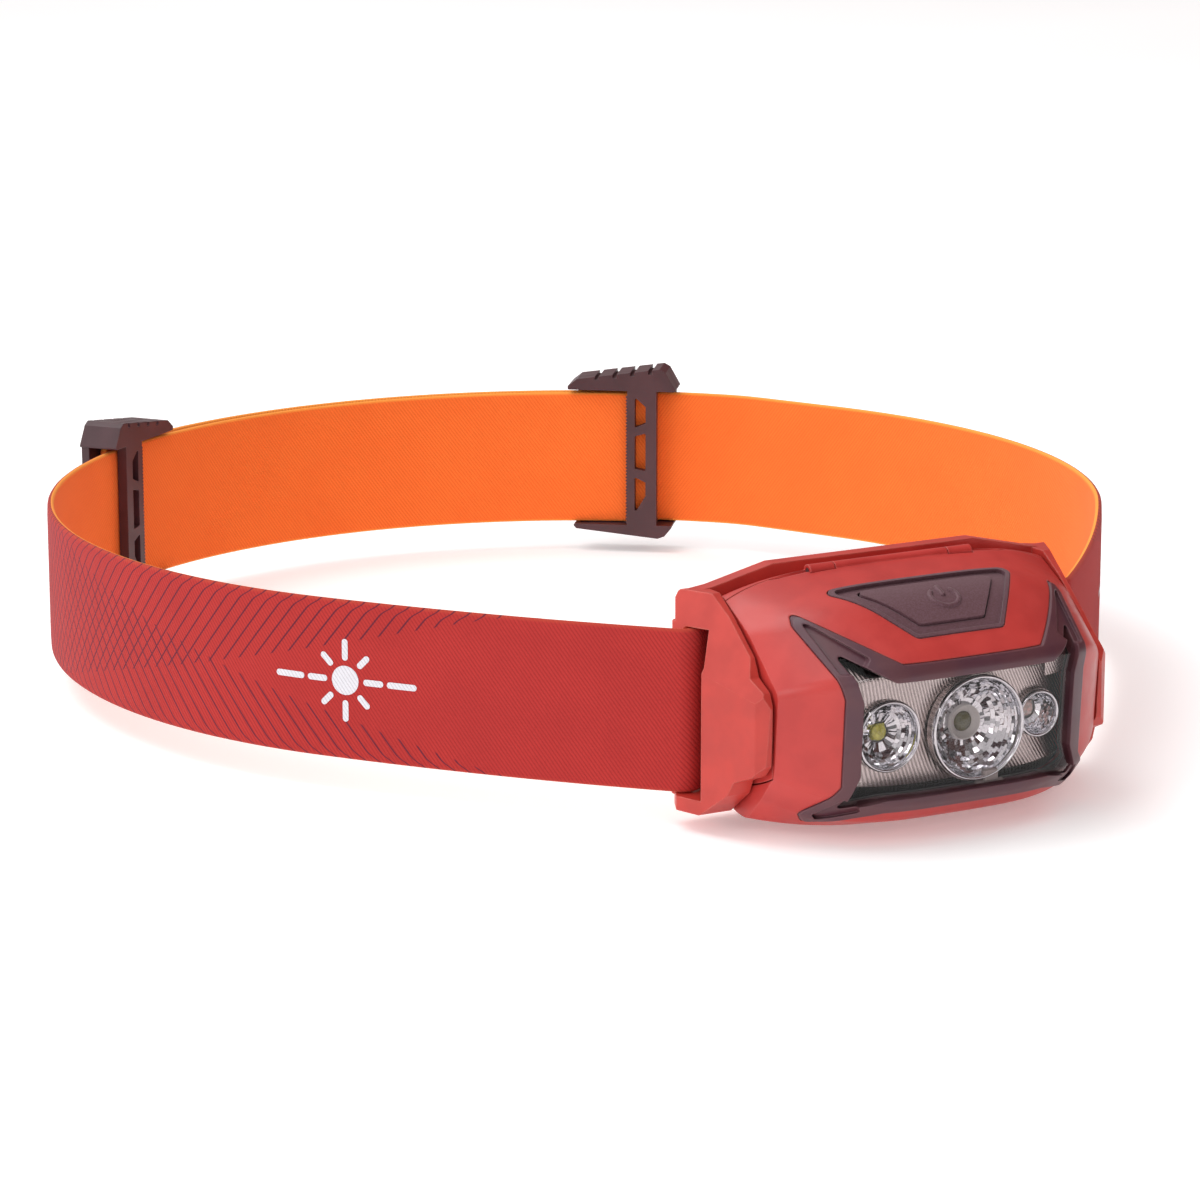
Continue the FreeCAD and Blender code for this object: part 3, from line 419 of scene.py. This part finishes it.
# moulded colours are base, lighter edge colour (wear and a painted highlight), and darker mottling
MATERIALS = {
    "red_shell": moulded("red_shell", "bf3a35", "d8685f", "b43430", 0.36),
    "red_bracket": moulded("red_bracket", "c03c33", "e07a6c", "b4372f", 0.40),
    "dark_trim": moulded("dark_trim", "5a343a", "80595f", "52303a", 0.36),
    "slider_plastic": moulded("slider_plastic", "4b2e33", "6f5358", "42282d", 0.40, bevel=0.0002),
    "button_rubber": rubber("button_rubber", "58363c", "62404a"),
    "clear_lens": clear_window("clear_lens"),
    "black_rubber": rubber("black_rubber", "141314", "1d1b1c"),
    "reflector_chrome": ribbed_chrome("reflector_chrome"),
    "cup_chrome": mirror_chrome("cup_chrome"),
    "led_package": phosphor("led_package", "d2cc58", "a8a23c"),
    "emitter_dark": phosphor("emitter_dark", "4a4a30", "5c5838"),
    "seat_white": moulded("seat_white", "c9c4c2", "dedad8", "bdb8b6", 0.3),
    "clear_clip": moulded("clear_clip", "9d908e", "c4bab8", "8d807e", 0.22),
    "led_red_package": phosphor("led_red_package", "b8b4ae", "d8b0a8"),
    "white_board": board("white_board", "c9cacb", "b3b4b5"),
    "green_board": board("green_board", "1c4a2a", "2c6a3c"),
    "black_plastic": moulded("black_plastic", "1a1a1c", "3a3a3d", "141416", 0.5),
    "pack_plastic": moulded("pack_plastic", "232326", "46464b", "1b1b1d", 0.55),
    "cell_foil": metal("cell_foil", "b9bbbf", 0.3),
    "steel": metal("steel", "9b9da1", 0.25),
    "gold_contact": metal("gold_contact", "c9a24d", 0.22),
    "pin_plastic": moulded("pin_plastic", "51363b", "7a5a60", "482f34", 0.4),
    # webbing colours: base, shade, selvedge; the orange side's lighter selvedge colour is a painted
    # highlight
    "strap_outer": webbing("strap_outer", "b53633", "9f2d2d", "b44134", True),
    "strap_inner": webbing("strap_inner", "fb7a34", "f06c2e", "fba046", False, -TWILL_LEAN),
    "strap_mark": mark_ink("strap_mark"),
}


for entry in frame["record"]["subparts"]:
    if entry["material_slot"] in MATERIALS:
        mesh = NODES[entry["node"]].data
        mesh.materials.clear()
        mesh.materials.append(MATERIALS[entry["material_slot"]])


# --- mesh helpers ---------------------------------------------------------------------------------


def riding(name, mesh, body):
    """A new object for a mesh in metres, which moves with a body."""
    obj = bpy.data.objects.new(name, mesh)
    bpy.context.scene.collection.objects.link(obj)
    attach(obj, body)
    return obj


def piece(name, vertices, faces, material, body, smooth=True):
    """A new riding object from vertices in metres and faces."""
    mesh = bpy.data.meshes.new(name)
    mesh.from_pydata(vertices, [], faces)
    mesh.validate()
    mesh.materials.append(MATERIALS[material])
    for polygon in mesh.polygons:
        polygon.use_smooth = smooth
    return riding(name, mesh, body)


def surface_of(node):
    """A search tree over a CAD piece's faces, for casting rays at it."""
    mesh = NODES[node].data
    points = [v.co.copy() for v in mesh.vertices]
    return BVHTree.FromPolygons(points, [tuple(p.vertices) for p in mesh.polygons])


def grid_faces(rows, columns, close_columns=False):
    """Quads over a grid of vertices that are numbered row by row."""
    faces = []
    for row in range(0, (rows - 1) * columns, columns):
        for j in range(columns if close_columns else columns - 1):
            m = (j + 1) % columns
            faces.append((row + j, row + columns + j, row + columns + m, row + m))
    return faces


# --- strap ----------------------------------------------------------------------------------------


FACE_STEPS = 14
THINNING, THIN_FROM, THIN_RUN = 0.10, 10.8, 1.7  # how far each face falls, from which z, over what
SELVEDGE_R, SELVEDGE_THINNING = 0.65, 0.07
SELVEDGE_ANGLES = [math.radians(d) for d in (22, 45, 67, 90, 113, 135, 158)]


def strap_section():
    """The ribbon's outline as (z, out): flat faces with rounded, slightly thinner selvedges."""
    half, t = STRAP_HALF_WIDTH, STRAP_T / 2
    width = 2 * half - 2 * SELVEDGE_R
    face = [-half + SELVEDGE_R + width * i / FACE_STEPS for i in range(FACE_STEPS + 1)]
    outer = [(z, t - THINNING * max(0.0, (abs(z) - THIN_FROM) / THIN_RUN)) for z in face]
    edge = [(half - SELVEDGE_R + SELVEDGE_R * math.sin(a), (t - SELVEDGE_THINNING) * math.cos(a))
            for a in SELVEDGE_ANGLES]
    inner = [(z, -out) for z, out in reversed(outer)]
    other = [(-z, -out) for z, out in edge]
    return outer, edge, inner, other


def build_strap():
    """The woven ribbon in place of the CAD strap, with the outer weave on one side only."""
    outer, edge, inner, other = strap_section()
    loop = outer + edge + inner + other
    columns = len(loop)
    vertices, uvs = [], []
    for x, y, h, run in PATH:
        for z, out in loop:
            vertices.append(Vector((x + math.sin(h) * out, y - math.cos(h) * out, z)) * MM)
            uvs.append((from_ear(run), z))
    faces = grid_faces(len(PATH), columns, close_columns=True)
    faces.append(tuple(range(columns)))
    faces.append(tuple(range(len(vertices) - columns, len(vertices)))[::-1])
    strap = piece("strap_webbing", vertices, faces, "strap_outer", "headband")
    mesh = strap.data
    mesh.materials.append(MATERIALS["strap_inner"])
    layer = mesh.uv_layers.new(name="strap_mm")
    for polygon in mesh.polygons:
        middle = sum(loop[v % columns][1] for v in polygon.vertices) / len(polygon.vertices)
        polygon.material_index = 0 if middle > 0.05 else 1
        for index in polygon.loop_indices:
            layer.data[index].uv = uvs[mesh.loops[index].vertex_index]
    fix_normals(mesh)
    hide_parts("headband_strap")
    return strap


def fix_normals(mesh):
    """Turn all faces of a closed mesh outwards."""
    work = bmesh.new()
    work.from_mesh(mesh)
    bmesh.ops.recalc_face_normals(work, faces=work.faces)
    work.to_mesh(mesh)
    work.free()


build_strap()


# --- printed mark: a plain sun with rays on each side of the strap --------------------------------


MARK_FROM_EAR = 53.5  # from the bracket to the mark's middle
DISC_R, DISC_CORNERS = 2.3, 28
RAY_START, RAY_LONG, RAY_SHORT = 3.6, 6.0, 5.2
DASH_START, DASH_END = 7.6, 11.6
INK_HALF, INK_LIFT = 0.5, 0.035  # half a ray's width, and the ink's height above the strap


def disc(radius):
    angles = [2 * math.pi * i / DISC_CORNERS for i in range(DISC_CORNERS)]
    return [(radius * math.cos(a), radius * math.sin(a)) for a in angles]


def capsule(x0, z0, x1, z1, half):
    """A round-ended bar between two points."""
    angle = math.atan2(z1 - z0, x1 - x0)
    points = []
    for cx, cz, base in ((x1, z1, angle - math.pi / 2), (x0, z0, angle + math.pi / 2)):
        for i in range(9):
            a = base + math.pi * i / 8
            points.append((cx + half * math.cos(a), cz + half * math.sin(a)))
    return points


def sun_outlines():
    outlines = [disc(DISC_R)]
    for i in range(8):
        a = math.pi * i / 4
        end = RAY_LONG if i % 2 == 0 else RAY_SHORT
        c, s = math.cos(a), math.sin(a)
        outlines.append(capsule(RAY_START * c, RAY_START * s, end * c, end * s, INK_HALF))
    for side in (-1, 1):
        outlines.append(capsule(side * DASH_START, 0, side * DASH_END, 0, INK_HALF))
    return outlines


def build_mark(name, centre_run):
    """The sun, laid flat on the strap's outer face."""
    vertices, faces, uvs = [], [], []
    for outline in sun_outlines():
        count, start = len(outline), len(vertices)
        centre = tuple(sum(p[axis] for p in outline) / count for axis in (0, 1))
        for along, z in [centre] + outline:
            vertices.append(point_on_strap(centre_run + along, z, STRAP_T / 2 + INK_LIFT))
            uvs.append((from_ear(centre_run + along), z))
        faces += [(start, start + 1 + i, start + 1 + (i + 1) % count) for i in range(count)]
    mark = piece(name, vertices, faces, "strap_mark", "headband")
    layer = mark.data.uv_layers.new(name="strap_mm")
    for item in mark.data.loops:
        layer.data[item.index].uv = uvs[item.vertex_index]
    return mark


build_mark("strap_mark_left", LEFT_EAR_RUN - MARK_FROM_EAR)
build_mark("strap_mark_right", RIGHT_EAR_RUN + MARK_FROM_EAR)


# --- reflector cups and light sources -------------------------------------------------------------

# (x, z) of the axis, rim radius, rim y, depth, facets round, rings of facets
CUPS = {
    "cup_spot": ((2.3, -1.8), 7.5, -28.7, 3.9, 40, 9),
    "cup_flood": ((-12.4, -1.6), 4.9, -27.2, 2.5, 30, 6),
    "cup_red": ((13.9, -1.4), 3.1, -27.4, 2.7, 22, 5),
}
CUP_THROAT, FACET_TILT, DOME_RINGS = 1.6, 0.11, 6
# the rolled rim's section, as (y, radius) from the cup's rim
RIM_SECTION = [
    (-0.1, -0.12), (-0.75, -0.05), (-1.0, 0.12), (-1.05, 0.3), (-0.9, 0.48), (-0.3, 0.55),
]
# the seat's section, as (y, radius)
SEAT_SECTION = [
    (-25.0, 1.5), (-25.25, 1.6), (-25.3, 2.35), (-25.9, 2.5), (-25.95, 2.65), (-25.3, 2.75),
]


def about_axis(centre, y, radius, angle):
    """A point in metres, from an axis along Y, a radius and an angle."""
    x, z = centre[0] + radius * math.cos(angle), centre[1] + radius * math.sin(angle)
    return Vector((x, y, z)) * MM


def turned(name, centre, profile, segments, material):
    """A smooth surface turned about an axis along Y from (y, radius) points."""
    angles = [2 * math.pi * j / segments for j in range(segments)]
    vertices = [about_axis(centre, y, r, angle) for y, r in profile for angle in angles]
    faces = grid_faces(len(profile), segments, close_columns=True)
    return piece(name, vertices, faces, material, "lamp_front")


def build_cup(name, centre, rim_r, rim_y, depth, segments, rings):
    """A rolled rim, and a bowl of small flat facets, each tilted a little differently."""
    rim = [(rim_y + y, rim_r + r) for y, r in RIM_SECTION]
    turned(f"{name}_rim", centre, rim, 64, "cup_chrome")
    profile = []
    for i in range(rings + 1):
        share = i / rings
        radius = CUP_THROAT + (rim_r - 0.12 - CUP_THROAT) * math.sqrt(1 - share ** 1.15)
        profile.append((rim_y - 0.1 + (depth - 0.15) * share, radius))
    vertices, faces = [], []
    for k in range(rings):
        for j in range(segments):
            lean, twist = [random.uniform(-FACET_TILT, FACET_TILT) for _ in range(2)]
            start = len(vertices)
            for ring, step in ((0, 0), (0, 1), (1, 1), (1, 0)):
                y, r = profile[k + ring]
                shift = lean * (2 * step - 1) + twist * (2 * ring - 1)
                angle = 2 * math.pi * (j + step + 0.5 * (k % 2)) / segments
                vertices.append(about_axis(centre, y + shift, r, angle))
            faces.append((start, start + 1, start + 2, start + 3))
    return piece(name, vertices, faces, "cup_chrome", "lamp_front", smooth=False)


def dome(y, radius, height):
    """(y, radius) points of a shallow dome that bulges forwards from y."""
    points = [(y, radius)]
    for i in range(1, DOME_RINGS + 1):
        a = math.pi / 2 * i / DOME_RINGS
        points.append((y - height * math.sin(a), max(radius * math.cos(a), 0.01)))
    return points


def build_sources():
    """The visible emitters, and the pale seat round the spot's emitter."""
    spot, flood, red = [CUPS[key][0] for key in ("cup_spot", "cup_flood", "cup_red")]
    turned("seat_spot", spot, SEAT_SECTION, 40, "seat_white")
    turned("emitter_spot", spot, dome(-25.1, 1.55, 0.8), 32, "emitter_dark")
    turned("emitter_flood", flood, dome(-25.0, 1.3, 0.5), 28, "led_package")
    turned("emitter_red", red, dome(-25.0, 1.1, 0.5), 24, "led_red_package")


CLIP_BEVEL = 0.2


def rounded_block(name, size, place, material):
    """A small block with bevelled edges, for the moulded clips behind the window."""
    mesh = bpy.data.meshes.new(name)
    work = bmesh.new()
    bmesh.ops.create_cube(work, size=1.0)
    bmesh.ops.scale(work, vec=Vector(size) * MM, verts=work.verts)
    bmesh.ops.translate(work, vec=Vector(place) * MM, verts=work.verts)
    edges = list(work.edges)
    bmesh.ops.bevel(work, geom=edges, offset=CLIP_BEVEL * MM, segments=2, affect="EDGES")
    work.to_mesh(mesh)
    work.free()
    mesh.materials.append(MATERIALS[material])
    riding(name, mesh, "lamp_front")


# (x, z) of the small sheets' corners, from the outer top one round to the outer bottom one
WING_CORNERS = [(-19.6, 10.5), (-14.1, 7.2), (-14.2, 4.6), (-18.2, 4.6)]
WING_DEPTH, WING_STEPS = 1.5, 8  # distance behind the window's face, and squares per side


def between(a, b, share):
    return a * (1 - share) + b * share


def build_wing(name, side):
    """A small fluted sheet behind the window, near one of its upper corners."""
    tree = surface_of("window_lens")
    (ax, az), (bx, bz), (cx, cz), (dx, dz) = WING_CORNERS
    shares = [i / WING_STEPS for i in range(WING_STEPS + 1)]
    vertices = []
    for down in shares:
        for inwards in shares:
            x = between(between(ax, bx, inwards), between(dx, cx, inwards), down)
            z = between(between(az, bz, inwards), between(dz, cz, inwards), down)
            place, normal, _, _ = tree.ray_cast(Vector((side * x, -60, z)) * MM, Vector((0, 1, 0)))
            if normal.y > 0:
                normal = -normal
            vertices.append(place - normal * WING_DEPTH * MM)
    faces = grid_faces(len(shares), len(shares))
    return piece(name, vertices, faces, "reflector_chrome", "lamp_front")


build_wing("reflector_wing_left", 1)
build_wing("reflector_wing_right", -1)
for cup_name, values in CUPS.items():
    build_cup(cup_name, *values)
build_sources()
rounded_block("clip_spot", (2.6, 1.0, 1.9), (4.6, -29.2, -9.3), "clear_clip")
rounded_block("clip_base", (5.0, 0.8, 0.9), (4.6, -29.0, -10.5), "clear_clip")
rounded_block("clip_between", (1.3, 0.9, 3.2), (10.3, -28.4, -2.2), "cup_chrome")


# --- button symbol --------------------------------------------------------------------------------

SLOPE = math.radians(23.7)
PANEL_NORMAL = Vector((0, -math.sin(SLOPE), math.cos(SLOPE)))
PANEL_DOWN = Vector((0, -math.cos(SLOPE), -math.sin(SLOPE)))
PANEL_CENTRE = Vector((0, -21.4, 15.9)) * MM
RAY_BACK = 0.01  # rays start this far above the panel, in metres
STROKE_HALF, STROKE_HEIGHT, STROKE_SUNK = 0.40, 0.34, 0.03
SYMBOL_X, RING_DOWN, RING_HALF_WIDTH, RING_HALF_HEIGHT = 1.0, -0.1, 2.3, 2.0
RING_FROM, RING_SWEEP, RING_STEPS = 40, 280, 36  # degrees, clear of the gap for the bar
BAR_TOP, BAR_STEP, BAR_POINTS = -2.7, 0.3, 9


def drop_on_panel(tree, x, down):
    """The point of the panel below a place given by x and the distance down its slope."""
    start = PANEL_CENTRE + Vector((x, 0, 0)) * MM + PANEL_DOWN * down * MM + PANEL_NORMAL * RAY_BACK
    hit = tree.ray_cast(start, -PANEL_NORMAL)
    return hit[0]


def raised_stroke(tree, points, half, height):
    """A rounded ridge that follows points on the panel."""
    vertices = []
    flank = (half * 0.7, height * 0.8)
    sunk = -STROKE_SUNK
    section = [(-half, sunk), (-flank[0], flank[1]), (0, height), flank, (half, sunk)]
    for i, (x, d) in enumerate(points):
        before, after = points[max(i - 1, 0)], points[min(i + 1, len(points) - 1)]
        dx, dd = after[0] - before[0], after[1] - before[1]
        length = math.hypot(dx, dd)
        nx, nd = -dd / length, dx / length
        for offset, up in section:
            base = drop_on_panel(tree, x + nx * offset, d + nd * offset)
            vertices.append(base + PANEL_NORMAL * up * MM)
    faces = grid_faces(len(points), len(section))
    faces.append(tuple(range(len(section))))
    faces.append(tuple(range(len(vertices) - len(section), len(vertices)))[::-1])
    return vertices, faces


def build_symbol():
    """A generic power symbol: an open ring and a bar in its gap."""
    tree = surface_of("power_button")
    angles = [math.radians(RING_FROM + RING_SWEEP * i / RING_STEPS) for i in range(RING_STEPS + 1)]
    ring = [(SYMBOL_X + RING_HALF_WIDTH * math.sin(a), RING_DOWN - RING_HALF_HEIGHT * math.cos(a))
            for a in angles]
    bar = [(SYMBOL_X, BAR_TOP + BAR_STEP * i) for i in range(BAR_POINTS)]
    vertices, faces = [], []
    for points in (ring, bar):
        v, f = raised_stroke(tree, points, STROKE_HALF, STROKE_HEIGHT)
        faces += [tuple(index + len(vertices) for index in face) for face in f]
        vertices += v
    return piece("button_symbol", vertices, faces, "button_rubber", "button")


build_symbol()


# --- stage, lights and camera ---------------------------------------------------------------------


FLOOR_HALF, FLOOR_Z = 3.0, -0.0180
CAMERA_PLACE, CAMERA_BACK = (-0.34434, -0.53671, 0.16342), (-0.4735, -0.8497, 0.2319)
LENS_MM, SENSOR_MM, NEAREST = 128.81, 36, 0.01


def stage():
    """A large pale floor, which isn't part of the object."""
    size, z = FLOOR_HALF, FLOOR_Z
    mesh = bpy.data.meshes.new("floor")
    corners = [(-size, -size, z), (size, -size, z), (size, size, z), (-size, size, z)]
    mesh.from_pydata(corners, [], [(0, 1, 2, 3)])
    s = Shader("floor")
    tone = s.ramp(s.noise(3, 2), 0.3, 0.7)
    color = s.mix(tone, linear("f6f6f6"), linear("fafafa"))
    mesh.materials.append(s.finish(color=color, roughness=0.9, specular=0.1, emission=color,
                                   emission_strength=0.28))
    floor = bpy.data.objects.new("floor", mesh)
    bpy.context.scene.collection.objects.link(floor)


def softbox(name, place, target, size, power, mirrored_in_gloss=True):
    """A round area light that points at a target."""
    data = bpy.data.lights.new(name, "AREA")
    data.shape = "DISK"
    data.size = size
    data.energy = power
    light = bpy.data.objects.new(name, data)
    light.location = place
    light.rotation_euler = (Vector(target) - Vector(place)).to_track_quat("-Z", "Y").to_euler()
    light.visible_glossy = mirrored_in_gloss
    bpy.context.scene.collection.objects.link(light)


def studio_world():
    """White behind the lamp for the camera.

    Everything else sees it bright at the left, rear and top, and dim at the right.
    """
    world = bpy.data.worlds.new("studio")
    world.use_nodes = True
    n = Nodes(world.node_tree)
    x, y, z = n.split(n.node("ShaderNodeTexCoord").outputs["Generated"])
    left = n.ramp(x, 0.2, -0.5, 0.0, 0.6)
    rear = n.ramp(y, 0.0, 0.6, 0.0, 0.5)
    top = n.ramp(z, 0.5, 0.9, 0.0, 0.35)
    glow = n.math("ADD", n.math("ADD", left, rear), n.math("ADD", top, 0.22))
    warm = n.ramp(x, 0.7, 0.1)
    color = n.mix(warm, linear("a06058"), linear("ffffff"))
    seen = n.node("ShaderNodeLightPath").outputs["Is Camera Ray"]
    background = n.tree.nodes["Background"]
    n.put(n.mix(seen, color, linear("ffffff")), background.inputs["Color"])
    strength = n.math("ADD", n.math("MULTIPLY", seen, 1.0),
                      n.math("MULTIPLY", n.math("SUBTRACT", 1.0, seen), glow))
    n.put(strength, background.inputs["Strength"])
    bpy.context.scene.world = world


def light_scene():
    studio_world()
    softbox("key", (-1.1, -0.25, 0.5), (0, 0, 0), 0.5, 1.9)
    softbox("front", (-0.25, -1.2, 0.6), (0, 0, 0), 0.35, 1.3)
    softbox("fill", (0.5, 0.1, 0.35), (-0.08, 0.09, 0), 0.3, 0.5, mirrored_in_gloss=False)
    softbox("top", (-0.35, 0.3, 1.0), (0, 0.05, 0), 0.8, 4.5)


def place_camera():
    """The photo's viewpoint."""
    back = Vector(CAMERA_BACK).normalized()
    data = bpy.data.cameras.new("camera")
    data.lens = LENS_MM
    data.sensor_width = SENSOR_MM
    data.clip_start = NEAREST
    camera = bpy.data.objects.new("camera", data)
    camera.location = CAMERA_PLACE
    camera.rotation_euler = (-back).to_track_quat("-Z", "Y").to_euler()
    bpy.context.scene.collection.objects.link(camera)
    bpy.context.scene.camera = camera


stage()
light_scene()
place_camera()
bpy.context.scene.view_settings.view_transform = "Standard"
